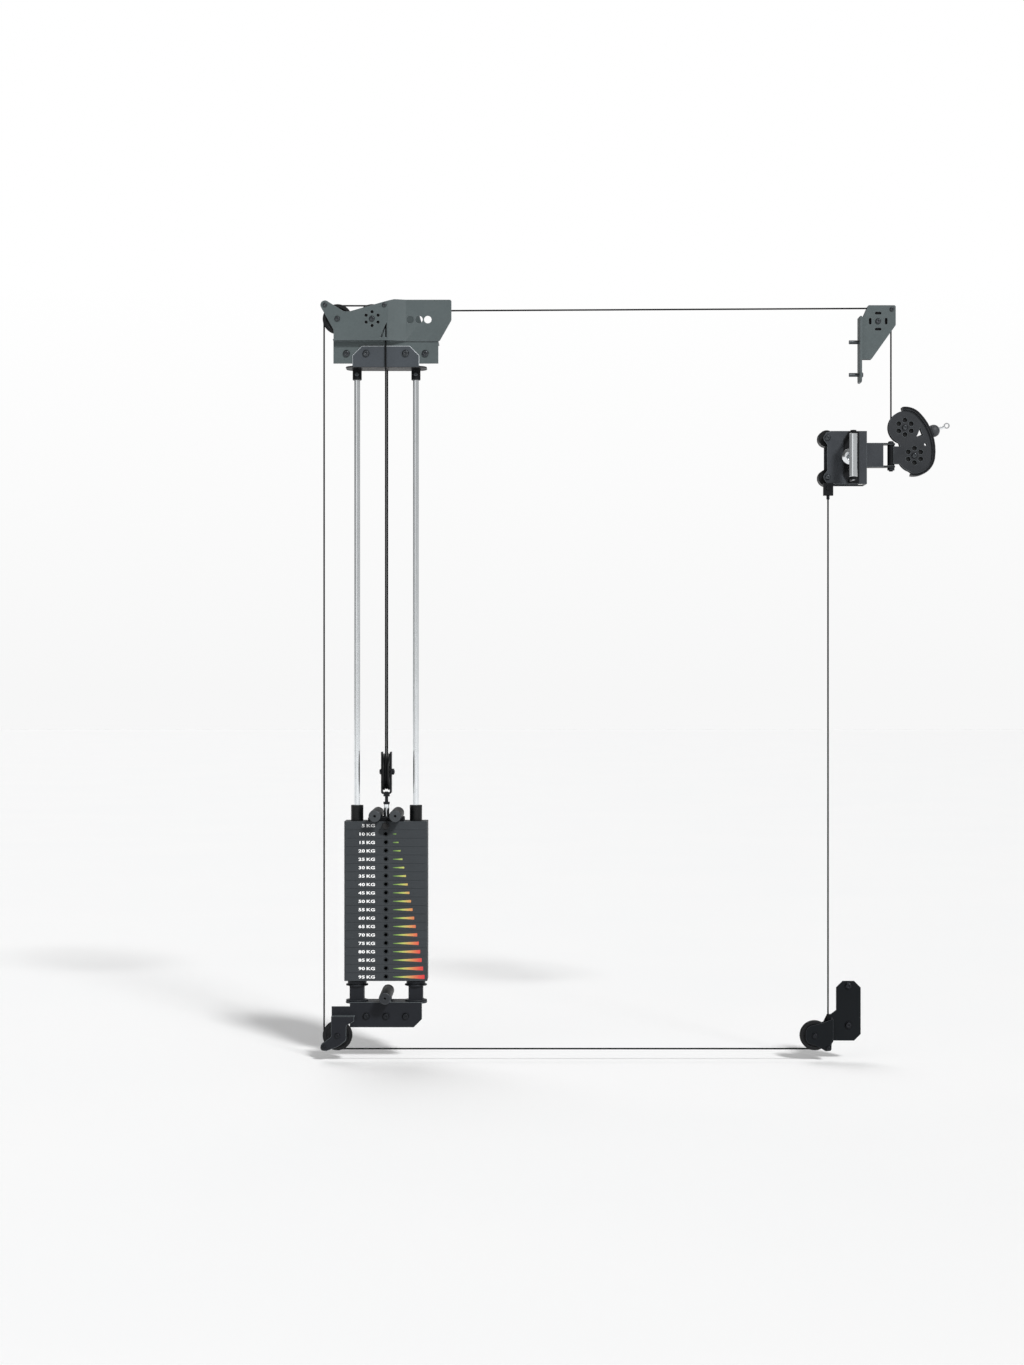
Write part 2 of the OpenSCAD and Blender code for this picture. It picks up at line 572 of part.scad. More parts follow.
// The stem that hangs in the plates, with a cross hole for each of them
module selector_stem() color(chrome) difference() {
    union() {
        translate([0, mid_y, stack_z + 4]) cylinder(r = stem_r, h = stack_top - stack_z - 4);
        translate([0, mid_y, stack_top - eps]) cylinder(r = 8.5, h = 50 + eps);
        translate([0, mid_y, stack_top]) cylinder(r = stem_r - 1, h = 6);
    }
    for (i = [0:plate_count - 1]) rod_in_y([0, stack_z + i * plate_pitch + plate_h / 2], pin_r + 0.3,
        mid_y - stem_r - eps, mid_y + stem_r + eps);
    translate([0, mid_y, stack_top + 20]) cylinder(r = 5 + loose_fit, h = 50);
}
// Two notched cross plates that hold the add-on bars on the head plate
module bar_cradle() color(dark_grey) for (y = [mid_y - 34, mid_y + 28]) difference() {
    sheet_xz(y, 6) polygon(rounded([[-bar_x - 24, stack_top, 0], [bar_x + 24, stack_top, 0],
        [bar_x + 24, stack_top + 13, 4], [-bar_x - 24, stack_top + 13, 4]]));
    for (s = [-1, 1]) rod_in_y([s * bar_x, stack_top + bar_r + slide_fit], bar_r + loose_fit, y - eps, y + 7);
}
// Threaded stud and lock nuts between the stem and the yoke
module lift_stud() color(black) translate([0, mid_y, 0]) {
    translate([0, 0, stack_top + 22]) cylinder(r = 5, h = yoke_z - stack_top - 22 + yoke_t + 2);
    translate([0, 0, stack_top + 50]) nut(5.2);
    translate([0, 0, yoke_z - 7.8]) nut(5.2);
}
// A strap bent to a U, open at the top, with the pulley's bolt through both legs
module pulley_yoke() color(steel_grey) difference() {
    h = float_z + 61 - yoke_z;
    out = yoke_half + yoke_t;
    translate([0, mid_y + yoke_w / 2, yoke_z]) rotate([90, 0, 0]) linear_extrude(yoke_w) difference() {
        polygon(rounded([[-out, 0, 7], [out, 0, 7], [out, h, 0], [-out, h, 0]]));
        polygon(rounded([[-yoke_half, yoke_t, 2], [yoke_half, yoke_t, 2], [yoke_half, h + eps, 0],
            [-yoke_half, h + eps, 0]]));
    }
    translate([-out - eps, mid_y, float_z]) rotate([0, 90, 0]) cylinder(r = axle_r + loose_fit, h = 2 * out + 2 * eps);
    translate([0, mid_y, yoke_z - eps]) cylinder(r = 5 + loose_fit, h = yoke_t + 2 * eps);
}
module yoke_bolt() color(black) translate([-yoke_half - yoke_t, mid_y, float_z]) rotate([0, 90, 0]) {
    screw(axle_r, 2 * (yoke_half + yoke_t) + axle_r * 1.8);
    translate([0, 0, 2 * (yoke_half + yoke_t)]) nut(axle_r);
}
module yoke_bearing() color(chrome) translate([0, mid_y, float_z]) rotate([0, 90, 0]) bearing(lift_w, axle_r);
module floating_pulley() color(black) translate([0, mid_y, float_z]) rotate([0, 90, 0])
    wheel(lift_r, lift_w, rim_over + 0.5);

module selector_pin() color(chrome)
    rod_in_y([0, head_z + plate_h / 2], pin_r, mid_y - plate_d / 2 - 8, mid_y + stem_r + 18);
module selector_knob() color(black) translate([0, mid_y - plate_d / 2 - 26, head_z + plate_h / 2])
    rotate([-90, 0, 0]) difference() {
        union() {
            cylinder(r1 = 9, r2 = 11, h = 2);
            translate([0, 0, 2]) cylinder(r = 11, h = 10);
            translate([0, 0, 12]) cylinder(r1 = 11, r2 = 7.5, h = 5);
            translate([0, 0, 17]) cylinder(r = 7.5, h = 8.7);
        }
        translate([0, 0, 18]) cylinder(r = pin_r + loose_fit, h = 10);
    }

// Outline of the trolley's front and rear plates, with an ear at each wheel
module trolley_side() {
    x = upright_x - 27;
    h = trolley_h / 2;
    union() {
        polygon(rounded([[x, trolley_z - wheel_z - 8, 0], [x + 24, trolley_z - h, 4],
            [frame_right, trolley_z - h, 3], [frame_right, trolley_z + h, 3], [x + 8, trolley_z + h, 10],
            [x, trolley_z + wheel_z + 8, 0]]));
        for (s = [-1, 1]) polygon(rounded([[x + 28, trolley_z + s * (wheel_z + 19), 0],
            [wheel_x - 4, trolley_z + s * (wheel_z + 17), 9], [wheel_x - 15, trolley_z + s * (wheel_z - 2), 12],
            [x, trolley_z + s * (wheel_z - 20), 6], [x + 28, trolley_z + s * (wheel_z - 26), 0]]));
    }
}
module trolley_frame() color(steel_grey) difference() {
    union() {
        for (y = frame_y) sheet_xz(y, plate_t) trolley_side();
        block([frame_right - plate_t, frame_right], [frame_y[0], frame_y[1] + plate_t],
            [trolley_z - trolley_h / 2, trolley_z + trolley_h / 2]);
        // box and lugs for the arm's hinge
        difference() {
            block([frame_right - 1, box_right], [mid_y - lug_half, mid_y + lug_half],
                [hinge_z - lug_z - lug_t, hinge_z + lug_z + lug_t]);
            block([frame_right, box_right + eps], [mid_y - lug_half + 5, mid_y + lug_half - 5],
                [hinge_z - lug_z, hinge_z + lug_z]);
        }
        for (z = [hinge_z - lug_z - lug_t, hinge_z + lug_z]) translate([0, 0, z]) linear_extrude(lug_t)
            polygon(rounded([[box_right - 1, mid_y - lug_half, 0], [swivel_x + 12, mid_y - 13, 9],
                [swivel_x + 12, mid_y + 13, 9], [box_right - 1, mid_y + lug_half, 0]]));
    }
    for (s = [-1, 1]) rod_in_y([wheel_x, trolley_z + s * wheel_z], axle_r + loose_fit,
        frame_y[0] - eps, frame_y[1] + plate_t + eps);
    rod_in_y([lock_x, trolley_z], lock_r + run_fit, frame_y[0] - eps, eps);
    translate([swivel_x, mid_y, hinge_z - lug_z - lug_t - eps])
        cylinder(r = swivel_r + loose_fit, h = 2 * (lug_z + lug_t + eps));
}
// A shaped pad plate and the lock pin's boss on the trolley's front
module latch_housing() {
    h = trolley_h / 2;
    color(black) difference() {
        union() {
            sheet_xz(boss_y, 3) polygon(rounded([[lock_x, trolley_z - h + 1, 0], [lock_x + 33, trolley_z - h + 1, 4],
                [lock_x + 33, trolley_z + h - 1, 4], [lock_x, trolley_z + h - 1, 0],
                [lock_x - 16, trolley_z + h - 27, 3], [lock_x - 16, trolley_z - h + 27, 3]]));
            rod_in_y([lock_x, trolley_z], boss_r, knob_y, boss_y + eps);
        }
        rod_in_y([lock_x, trolley_z], lock_r + run_fit, knob_y - eps, boss_y + 5);
    }
}
module lock_pin() color(chrome) rod_in_y([lock_x, trolley_z], lock_r, knob_y - 14, 12);
module lock_knob() color(chrome) translate([lock_x, knob_y - slide_fit, trolley_z]) rotate([90, 0, 0]) difference() {
    union() {
        cylinder(r = 17, h = 4);
        translate([0, 0, 4]) cylinder(r = 24.5, h = 8);
        translate([0, 0, 12]) cylinder(r1 = 24.5, r2 = 15, h = 7);
    }
    translate([0, 0, -eps]) cylinder(r = lock_r + loose_fit, h = 15 + eps);
}
// Two standoffs that carry the grip bar in front of the lock knob
module handle_brackets() color(black) for (s = [-1, 1]) {
    z = trolley_z + s * (grip_half + 5);
    difference() {
        union() {
            rod_in_y([grip_x, z], 5, grip_y, boss_y);
            translate([grip_x, grip_y, z - 5]) cylinder(r = 9, h = 10);
        }
        translate([grip_x, grip_y, z - 6]) cylinder(r = 4 + loose_fit, h = 12);
    }
}
module handle_grip() color(chrome) translate([grip_x, grip_y, trolley_z]) {
    cylinder(r = grip_d / 2, h = 2 * grip_half, center = true);
    cylinder(r = 4, h = 2 * grip_half + 22, center = true);
}
module wheel_bolts() color(steel_grey) for (s = [-1, 1])
    through_screw([wheel_x, trolley_z + s * wheel_z], axle_r, frame_y[0], frame_y[1] + plate_t);
// A solid roller along Y, ribbed in the middle and stepped to its hub
module trolley_wheel(s) color(black) translate([wheel_x, mid_y, trolley_z + s * wheel_z]) rotate([90, 0, 0])
    difference() {
        union() {
            cylinder(r = wheel_r, h = wheel_w, center = true);
            cylinder(r = axle_r + 5, h = beam + 1.4, center = true);
        }
        cylinder(r = axle_r + run_fit, h = beam + 4, center = true);
        for (z = [-10, 0, 10]) translate([0, 0, z]) difference() {
            cylinder(r = wheel_r + eps, h = 2, center = true);
            cylinder(r = wheel_r - 1.5, h = 3, center = true);
        }
    }
module upper_wheel() trolley_wheel(1);
module lower_wheel() trolley_wheel(-1);
// Low-friction pads between the trolley's side wall and the upright
module guide_pads() color(chrome) for (s = [-1, 1]) block([corner_face + slide_fit, frame_right - plate_t],
    [12, beam - 12], [trolley_z + s * 60 - 18, trolley_z + s * 60 + 18]);
// Clevis block below the trolley that holds the end of the cable
module cable_anchor() color(dark_grey) {
    difference() {
        block([trolley_x - 14, trolley_x + 15], [near_y - 9, frame_y[0]], [anchor_z, anchor_z + 38]);
        translate([trolley_x, near_y, anchor_z - eps]) cylinder(r = cable_r + loose_fit, h = 20);
        rod_in_y([trolley_x, anchor_z + 23], 4 + loose_fit, near_y - 9 - eps, frame_y[0] + eps);
    }
    block([trolley_x - 10, trolley_x + 12], [frame_y[0] + 0.02, frame_y[0] + plate_t],
        [anchor_z + 4, trolley_z - trolley_h / 2 - 0.02]);
    translate([trolley_x, near_y - 9, anchor_z + 23]) rotate([-90, 0, 0]) screw(4, frame_y[0] - near_y + 9);
}
module swivel_bolt() color(black) translate([swivel_x, mid_y, hinge_z]) {
    translate([0, 0, lug_z + lug_t]) rotate([180, 0, 0]) screw(swivel_r, 2 * (lug_z + lug_t) + 12, 1.5);
    translate([0, 0, -lug_z - lug_t]) rotate([180, 0, 0]) nut(swivel_r * 0.98);
}

// The guard's outer line: round the upper pulley, along the bow, round the lower pulley
up_dir = atan2(upper_at.y - bow_at.y, upper_at.x - bow_at.x);
low_dir = atan2(lower_at.y - bow_at.y, lower_at.x - bow_at.x);
guard_from = 98;
guard_to = -100;
function guard_line(in) = concat(arc(upper_at, guard_r - in, guard_from, up_dir, 8),
    arc(bow_at, guard_bow - in, up_dir, low_dir, 8), arc(lower_at, guard_r - in, low_dir, guard_to, 14));
function backwards(p) = [for (i = [len(p) - 1:-1:0]) p[i]];
// Outline of the arm's two cheeks: the guard's inner line, closed by the lobes and the neck
module arm_cheek() difference() {
    union() {
        polygon(concat(guard_line(guard_t + 0.05), [[swivel_x + 26, hinge_z - 26], [swivel_x + barrel_r - 3, hinge_z - 26],
            [swivel_x + barrel_r - 3, hinge_z + 27], [swivel_x + 27, hinge_z + 27],
            [swivel_x + 22, hinge_z + 42], [upper_at.x - 8, upper_at.y - 38]]));
        translate(upper_at) circle(r = lobe_r);
        translate(lower_at) circle(r = lobe_r);
    }
    polygon([[upper_at.x + 46, upper_at.y - 1], [upper_at.x + 36, upper_at.y - 27], [upper_at.x + 56, upper_at.y - 25]]);
    translate([lower_at.x + 34.5, lower_at.y + 34.5]) circle(r = 4.5);
}
module arm_frame() color(steel_grey) difference() {
    union() {
        for (y = arm_y) sheet_xz(y, plate_t) arm_cheek();
        translate([swivel_x, mid_y, hinge_z]) cylinder(r = barrel_r, h = 2 * (lug_z - slide_fit), center = true);
        // webs that join the barrel to the cheeks
        block([swivel_x + 6, swivel_x + 12], [arm_y[0], arm_y[1] + plate_t], [hinge_z - 26, hinge_z + 27]);
    }
    translate([swivel_x, mid_y, hinge_z]) cylinder(r = swivel_r + run_fit, h = 2 * lug_z + 10, center = true);
    for (p = [upper_at, lower_at]) {
        rod_in_y(p, axle_r + loose_fit, arm_y[0] - eps, arm_y[1] + plate_t + eps);
        for (i = [0:5], y = arm_y) rod_in_y([p.x + 22 * sin(60 * i), p.y + 22 * cos(60 * i)], 7.5,
            y - eps, y + plate_t + eps);
    }
}
// The guard: a bent bar round the arm's outer edge, bored where the cable comes out
module arm_guard() color(black) difference() {
    sheet_xz(mid_y - guard_w / 2, guard_w) polygon(concat(guard_line(0), backwards(guard_line(guard_t))));
    translate([mouth.x, mid_y, mouth.y]) rotate([0, 90 - exit_angle, 0])
        cylinder(r = cable_r + 2, h = 4 * guard_t, center = true);
}
module arm_bolts() color(steel_grey) for (p = [upper_at, lower_at])
    through_screw(p, axle_r, arm_y[0], arm_y[1] + plate_t);
module arm_bearings() color(chrome) for (p = [upper_at, lower_at]) translate([p.x, mid_y, p.y])
    rotate([90, 0, 0]) bearing(pulley_w, axle_r);

// Pieces on the cable's free end, along its exit line
module on_exit(s) translate([exit_from.x + s * exit_dir.x, mid_y, exit_from.y + s * exit_dir.y])
    rotate([0, 90 - exit_angle, 0]) children();
module ball_stop() color(black) on_exit(ball_at) difference() {
    translate([0, 0, ball_cut]) sphere(r = ball_r);
    translate([0, 0, -2 * ball_r]) cylinder(r = 2 * ball_r, h = 2 * ball_r);
    translate([0, 0, -eps]) cylinder(r = cable_r + loose_fit, h = 3 * ball_r);
}
module cable_end() color(chrome) on_exit(ball_at) {
    difference() {
        union() {
            translate([0, 0, 1]) cylinder(r = cable_r, h = ball_r + ball_cut + 14);
            translate([0, 0, ball_r + ball_cut + 4]) cylinder(r = 4.2, h = 13);
            translate([0, 0, ball_r + ball_cut + 24]) rotate([90, 0, 0]) cylinder(r = 9, h = 6.5, center = true);
        }
        translate([0, 0, ball_r + ball_cut + 24]) rotate([90, 0, 0]) cylinder(r = 5.5, h = 10, center = true);
    }
}

module cable_lower_run() color(black) {
    cable_arc(FOOT, near_y, -90, 0);
    cable_line([foot_x, near_y, FOOT[1] - pitch_r], [BASE[0], near_y, BASE[1] - pitch_r]);
    cable_arc(BASE, near_y, 180, 270);
    cable_line([BASE[0] - pitch_r, near_y, BASE[1]], [BASE[0] - pitch_r, near_y, axle_z]);
    cable_arc(TOP_OUTER, near_y, 90, 180);
    cable_line([-outer_x, near_y, axle_z + pitch_r], [in_x, near_y, axle_z + pitch_r]);
    cable_arc(TOP_INNER, near_y, 0, 90);
}
module cable_upper_run() color(black) {
    cable_arc(TOP_REAR, rear_y, 90, 180);
    cable_line([rear_x + 0.1, rear_y, axle_z + pitch_r], [corner_x - 0.1, mid_y, axle_z + pitch_r]);
    cable_arc(CORNER, mid_y, 0, 90);
}
module cable_trolley_strand() color(black)
    cable_line([trolley_x, near_y, FOOT[1]], [trolley_x, near_y, anchor_z + 12]);
module cable_arm_strand() color(black)
    cable_line([swivel_x, mid_y, upper_at.y], [swivel_x, mid_y, axle_z]);
module cable_lift_strands() color(black) for (y = [near_y, rear_y])
    cable_line([0, y, float_z], [0, y, axle_z]);
module cable_pulley_loop() color(black) translate([0, mid_y, float_z]) rotate([90, 0, 90])
    rotate([0, 0, 180]) rotate_extrude(angle = 180) translate([lift_r, 0]) circle(r = cable_r);
module cable_arm_loop() color(black) {
    cable_arc(upper_at, mid_y, 180, 270 + exit_angle);
    translate([upper_at.x, mid_y, upper_at.y]) rotate([90, 0, 0]) rotate([0, 0, 270 + exit_angle])
        translate([pitch_r, 0, 0]) rotate([-90, 0, 0]) cylinder(r = cable_r, h = exit_len);
}

module top_outer_pulley() wheel_at(TOP_OUTER);
module top_inner_pulley() wheel_at(TOP_INNER);
module top_rear_pulley() wheel_at(TOP_REAR);
module corner_pulley() wheel_at(CORNER);
module foot_pulley() wheel_at(FOOT);
module base_pulley() wheel_at(BASE);
module arm_upper_pulley() wheel_at([upper_at.x, upper_at.y, mid_y]);
module arm_lower_pulley() wheel_at([lower_at.x, lower_at.y, mid_y]);

top_bracket();
rod_hanger();
corner_bracket();
foot_bracket();
base_bracket();
mount_bolts();
pulley_bolts();
pulley_bearings();
guide_rods();
rod_screws();
base_posts();
bump_stops();
base_bar();
weight_plates();
top_outer_pulley();
top_inner_pulley();
top_rear_pulley();
corner_pulley();
foot_pulley();
base_pulley();
head_plate();
guide_bushings();
selector_stem();
bar_cradle();
head_bars();
lift_stud();
pulley_yoke();
yoke_bolt();
yoke_bearing();
floating_pulley();
selector_pin();
selector_knob();
trolley_frame();
latch_housing();
lock_pin();
lock_knob();
handle_brackets();
handle_grip();
wheel_bolts();
guide_pads();
cable_anchor();
swivel_bolt();
upper_wheel();
lower_wheel();
arm_frame();
arm_guard();
arm_bolts();
arm_bearings();
arm_upper_pulley();
arm_lower_pulley();
ball_stop();
cable_end();
cable_lower_run();
cable_upper_run();
cable_trolley_strand();
cable_arm_strand();
cable_lift_strands();
cable_pulley_loop();
cable_arm_loop();
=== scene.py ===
"""A rack mounted cable pulley system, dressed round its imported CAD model.

Metres, in the CAD model's frame: X along the rack's side, Y away from the viewer, Z up.
"""

import json
import math

import bmesh
import bpy
from mathutils import Matrix, Vector


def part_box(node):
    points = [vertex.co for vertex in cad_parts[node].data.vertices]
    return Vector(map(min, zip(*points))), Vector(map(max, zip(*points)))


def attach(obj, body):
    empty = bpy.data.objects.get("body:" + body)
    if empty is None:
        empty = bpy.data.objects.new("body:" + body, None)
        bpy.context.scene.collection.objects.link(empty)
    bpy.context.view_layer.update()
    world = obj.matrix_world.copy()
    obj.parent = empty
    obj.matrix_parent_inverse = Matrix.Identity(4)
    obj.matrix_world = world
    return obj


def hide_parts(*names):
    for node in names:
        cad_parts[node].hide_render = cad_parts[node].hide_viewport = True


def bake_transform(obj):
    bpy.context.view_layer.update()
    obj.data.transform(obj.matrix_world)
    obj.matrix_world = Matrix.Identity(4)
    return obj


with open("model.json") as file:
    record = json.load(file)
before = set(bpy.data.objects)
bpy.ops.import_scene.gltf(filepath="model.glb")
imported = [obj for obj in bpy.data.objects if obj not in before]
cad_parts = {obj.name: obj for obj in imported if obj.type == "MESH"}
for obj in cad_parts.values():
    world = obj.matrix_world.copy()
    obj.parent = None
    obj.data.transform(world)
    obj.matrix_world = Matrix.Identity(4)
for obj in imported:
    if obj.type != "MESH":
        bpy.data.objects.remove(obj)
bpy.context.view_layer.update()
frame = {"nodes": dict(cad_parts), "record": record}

# The camera stands where the photograph was taken from: straight in front, seven and a half
# metres away, a little right of the weight stack, with no tilt.
camera_data = bpy.data.cameras.new("camera")
camera_data.lens = 64.85
camera_data.sensor_width = 36
camera_data.shift_y = 0.004
camera = bpy.data.objects.new("camera", camera_data)
camera.location = (0.3845, -7.5, 1.0005)
camera.rotation_euler = (math.radians(90), 0, 0)
bpy.context.collection.objects.link(camera)
bpy.context.scene.camera = camera
bpy.context.scene.view_settings.view_transform = "Standard"


# The top bracket carries three pulleys over the beam, the corner bracket one over the upright.
# Both are steel plates welded together and powder coated. The pale line along their edges is a
# painted highlight.
class Socket:
    """One output in a node tree. Plain arithmetic on it adds Math nodes."""

    def __init__(self, tree, output):
        self.tree, self.output = tree, output

    @classmethod
    def add(cls, tree, kind, sockets, output=0, stops=(), **settings):
        """Adds a node: its settings and a ramp's stops first, then its sockets' values or links."""
        node = tree.nodes.new("ShaderNode" + kind)
        for name, value in settings.items():
            setattr(node, name, value)
        if stops:
            points = node.color_ramp.elements
            while len(points) < len(stops):
                points.new(1)
            for point, (place, colour) in zip(points, stops):
                point.position = place
                point.color = (*colour, 1)
        for name, value in sockets.items():
            if isinstance(value, Socket):
                value.feed(node.inputs[name])
            else:
                node.inputs[name].default_value = value
        return cls(tree, node.outputs[output])

    def feed(self, entry):
        self.tree.links.new(self.output, entry)

    def math(self, operation, *values):
        """A Math node on the values, or on this output alone."""
        sockets = dict(enumerate(values or (self,)))
        return Socket.add(self.tree, "Math", sockets, operation=operation)

    def __add__(self, other):
        return self.math("ADD", self, other)

    def __radd__(self, other):
        return self.math("ADD", other, self)

    def __sub__(self, other):
        return self.math("SUBTRACT", self, other)

    def __rsub__(self, other):
        return self.math("SUBTRACT", other, self)

    def __mul__(self, other):
        return self.math("MULTIPLY", self, other)

    def __rmul__(self, other):
        return self.math("MULTIPLY", other, self)

    def clamp(self, low, high, to_low=0.0, to_high=1.0):
        limits = {"From Min": low, "From Max": high, "To Min": to_low, "To Max": to_high}
        return Socket.add(self.tree, "MapRange", {"Value": self, **limits}, "Result")

    def ramp(self, *stops):
        return Socket.add(self.tree, "ValToRGB", {"Fac": self}, "Color", stops)


class Material:
    """A Principled material whose textures sit in the object's own space, in metres."""

    def __init__(self, name, **values):
        self.data = bpy.data.materials.new(name)
        self.data.use_nodes = True
        self.tree = self.data.node_tree
        self.shader = self.tree.nodes["Principled BSDF"]
        for key, value in values.items():
            self.shader.inputs[key.replace("_", " ")].default_value = value
        self.place = Socket.add(self.tree, "TexCoord", {}, "Object")

    def noise(self, scale, detail, stretch=None):
        place = self.place
        if stretch:
            place = Socket.add(self.tree, "Mapping", {"Vector": place, "Scale": stretch}, "Vector")
        sockets = {"Vector": place, "Scale": scale, "Detail": detail}
        return Socket.add(self.tree, "TexNoise", sockets, "Fac")

    def colour(self, socket):
        socket.feed(self.shader.inputs["Base Color"])
        return self

    def roughness(self, socket):
        socket.feed(self.shader.inputs["Roughness"])
        return self

    def bump(self, socket, depth):
        normal = Socket.add(self.tree, "Bump", {"Height": socket, "Distance": depth}, "Normal")
        normal.feed(self.shader.inputs["Normal"])
        return self


def shade(colour, share):
    return tuple(min(1.0, part * share) for part in colour)


def paint(name, colour, rough=0.42, grain=0.00012, gloss=0.3):
    """Powder coat: fine orange peel, a slow change of tone, and a few duller patches."""
    made = Material(name, Specular_IOR_Level=gloss)
    tone = made.noise(5, 3) * 0.7 + made.noise(140, 3) * 0.3
    made.colour(tone.ramp((0.3, shade(colour, 0.86)), (0.5, colour), (0.72, shade(colour, 1.14))))
    dull = made.noise(22, 4) * 0.7 + made.noise(600, 1) * 0.3
    made.roughness(dull.clamp(0.3, 0.7, rough - 0.09, rough + 0.1))
    return made.bump(made.noise(1300, 2) * 0.7 + made.noise(420, 1) * 0.3, grain).data


# Which body each CAD node rides on.
record = frame["record"]
bodies = record["behaviour"]["bodies"]
node_body = {node: body for body, nodes in bodies.items() for node in nodes}


def from_bmesh(name, work):
    mesh = bpy.data.meshes.new(name)
    work.to_mesh(mesh)
    work.free()
    piece = bpy.data.objects.new(name, mesh)
    bpy.context.collection.objects.link(piece)
    return piece


def finish_piece(piece, body, materials, replaced=(), angle=32):
    """Smooths a new piece, gives it its materials and joins it to its body, if it has only one."""
    for material in materials:
        piece.data.materials.append(material)
    piece.data.polygons.foreach_set("use_smooth", [True] * len(piece.data.polygons))
    piece.data.set_sharp_from_angle(angle=math.radians(angle))
    if body:
        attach(piece, body)
    if replaced:
        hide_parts(*replaced)
    return piece


def dress(node, material, edge=None, width=0.0006, other=None, where=None):
    """A copy of a CAD node with its flat faces joined, its edges rounded and a painted highlight on
    them.

    Faces whose middle passes the test "where" get the other material. Pieces with very short edges
    are rounded no further than those edges allow.
    """
    work = bmesh.new()
    work.from_mesh(frame["nodes"][node].data)
    bmesh.ops.remove_doubles(work, verts=work.verts, dist=1e-6)
    flat = math.radians(0.4)
    bmesh.ops.dissolve_limit(work, angle_limit=flat, verts=work.verts, edges=work.edges)
    for face in work.faces:
        face.material_index = 1 if where and where(face.calc_center_median()) else 0
    piece = from_bmesh(node + "_dressed", work)
    materials = [material, other or material] + ([edge] if edge else [])
    finish_piece(piece, node_body[node], materials, [node])
    bevel = piece.modifiers.new("rounded_edges", "BEVEL")
    bevel.width, bevel.segments = width, 2
    bevel.limit_method, bevel.angle_limit = "ANGLE", math.radians(35)
    bevel.loop_slide = False
    bevel.use_clamp_overlap = node in ("handle_brackets", "cable_anchor", "cable_end")
    bevel.material = 2 if edge else -1
    piece.modifiers.new("even_shading", "WEIGHTED_NORMAL").keep_sharp = True
    return piece


def sweep(points, radii, sides, across_of, mapped=False):
    """A round bar along points, closed at both ends. across_of gives a direction square to it.

    A mapped bar gets the UV map "route", which runs along it in metres and once round it.
    """
    work = bmesh.new()
    layer = work.loops.layers.uv.new("route") if mapped else None
    turns = [2 * math.pi * j / sides for j in range(sides)]
    rings, lengths, run = [], [], 0.0
    for i, (point, radius) in enumerate(zip(points, radii)):
        before, after = points[max(i - 1, 0)], points[min(i + 1, len(points) - 1)]
        ahead = (after - before).normalized()
        across = across_of(ahead).normalized()
        up = across.cross(ahead)
        run += (point - before).length
        lengths.append(run)
        rings.append([work.verts.new(point + radius * (across * math.cos(t) + up * math.sin(t)))
                      for t in turns])
    for i, (a, b) in enumerate(zip(rings, rings[1:])):
        for j in range(sides):
            k = (j + 1) % sides
            face = work.faces.new((a[j], a[k], b[k], b[j]))
            if mapped:
                corners = ((i, j), (i, j + 1), (i + 1, j + 1), (i + 1, j))
                for loop, (ring, turn) in zip(face.loops, corners):
                    loop[layer].uv = (lengths[ring], turn / sides)
    work.faces.new(rings[0][::-1])
    work.faces.new(rings[-1])
    bmesh.ops.recalc_face_normals(work, faces=work.faces)
    return work


def bead_across(ahead):
    return ahead.orthogonal() if abs(ahead.z) > 0.9 else ahead.cross(Vector((0, 0, 1)))


def weld(name, body, points, material, radius=0.0019, closed=False):
    """A rippled weld bead along a line of points, thinner at both ends of the line."""
    corners = [Vector(point) for point in points]
    if closed:
        corners.append(corners[0])
    ripple = 0.0011
    path = []
    for a, b in zip(corners, corners[1:]):
        count = max(1, round((b - a).length / ripple))
        path += [a.lerp(b, i / count) for i in range(count)]
    path.append(corners[-1])
    ends = (0, len(path) - 1)
    radii = [radius * (0.84 + 0.16 * abs(math.sin(math.pi * i / 3))) * (0.45 if i in ends else 1)
             for i in range(len(path))]
    work = sweep(path, radii, 8, bead_across)
    return finish_piece(from_bmesh(name, work), body, [material], angle=60)


top_paint = paint("top_paint", (0.069, 0.086, 0.0885))
# The pale edge colour stands for light caught on the rounded edges: a painted highlight.
pale_edge_highlight = paint("pale_edge_highlight", (0.12, 0.137, 0.145), 0.36, gloss=0.4)
dress("top_bracket", top_paint, pale_edge_highlight, 0.0007)
dress("corner_bracket", top_paint, pale_edge_highlight)
deck_seam = 2.0615
for place, left, right, depth in (("near", -0.155, 0.036, -0.0006), ("far", -0.036, 0.105, 0.0756),
                                  ("rear", -0.036, 0.105, 0.0976)):
    line = [(left, depth, deck_seam), (right, depth, deck_seam)]
    weld("weld_deck_" + place, "mounts", line, top_paint)
corner_seam, seam_low, seam_high = 1.4535, 2.010, 2.134
for place, depth in (("near", 0.0243), ("far", 0.0507)):
    line = [(corner_seam, depth, seam_low), (corner_seam, depth, seam_high)]
    weld("weld_corner_" + place, "mounts", line, top_paint, 0.0017)

# The rod hanger is a steel tray that hangs the guide rods under the beam, each in a socket welded
# to it. Its front flange is grey with a painted highlight along its edge, and what lies below the
# tray is black.
MIDDLE = 0.0375
ROD_SIDES = (("left", -0.09), ("right", 0.09))
hanger_low, hanger_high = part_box("rod_hanger")
tray_top = hanger_high.z - 0.0603
socket_seam, socket_round = hanger_low.z + 0.0336, 0.0143
hanger_paint = paint("hanger_paint", (0.042, 0.0495, 0.058))
black_paint = paint("black_paint", (0.0042, 0.0047, 0.0058), 0.44, gloss=0.14)
# The flange's edge colour is a painted highlight above the tray's top and near black below it.
flange_edge_highlight = Material("flange_edge_highlight", Roughness=0.36)
height = Socket.add(flange_edge_highlight.tree, "SeparateXYZ", {0: flange_edge_highlight.place}, "Z")
flange_edge_highlight.colour(height.clamp(tray_top - 0.001, tray_top + 0.001).ramp(
    (0.0, (0.012, 0.013, 0.015)), (1.0, (0.5, 0.53, 0.55))))
dress("rod_hanger", hanger_paint, flange_edge_highlight.data, 0.0015, black_paint, lambda at: at.z < tray_top)
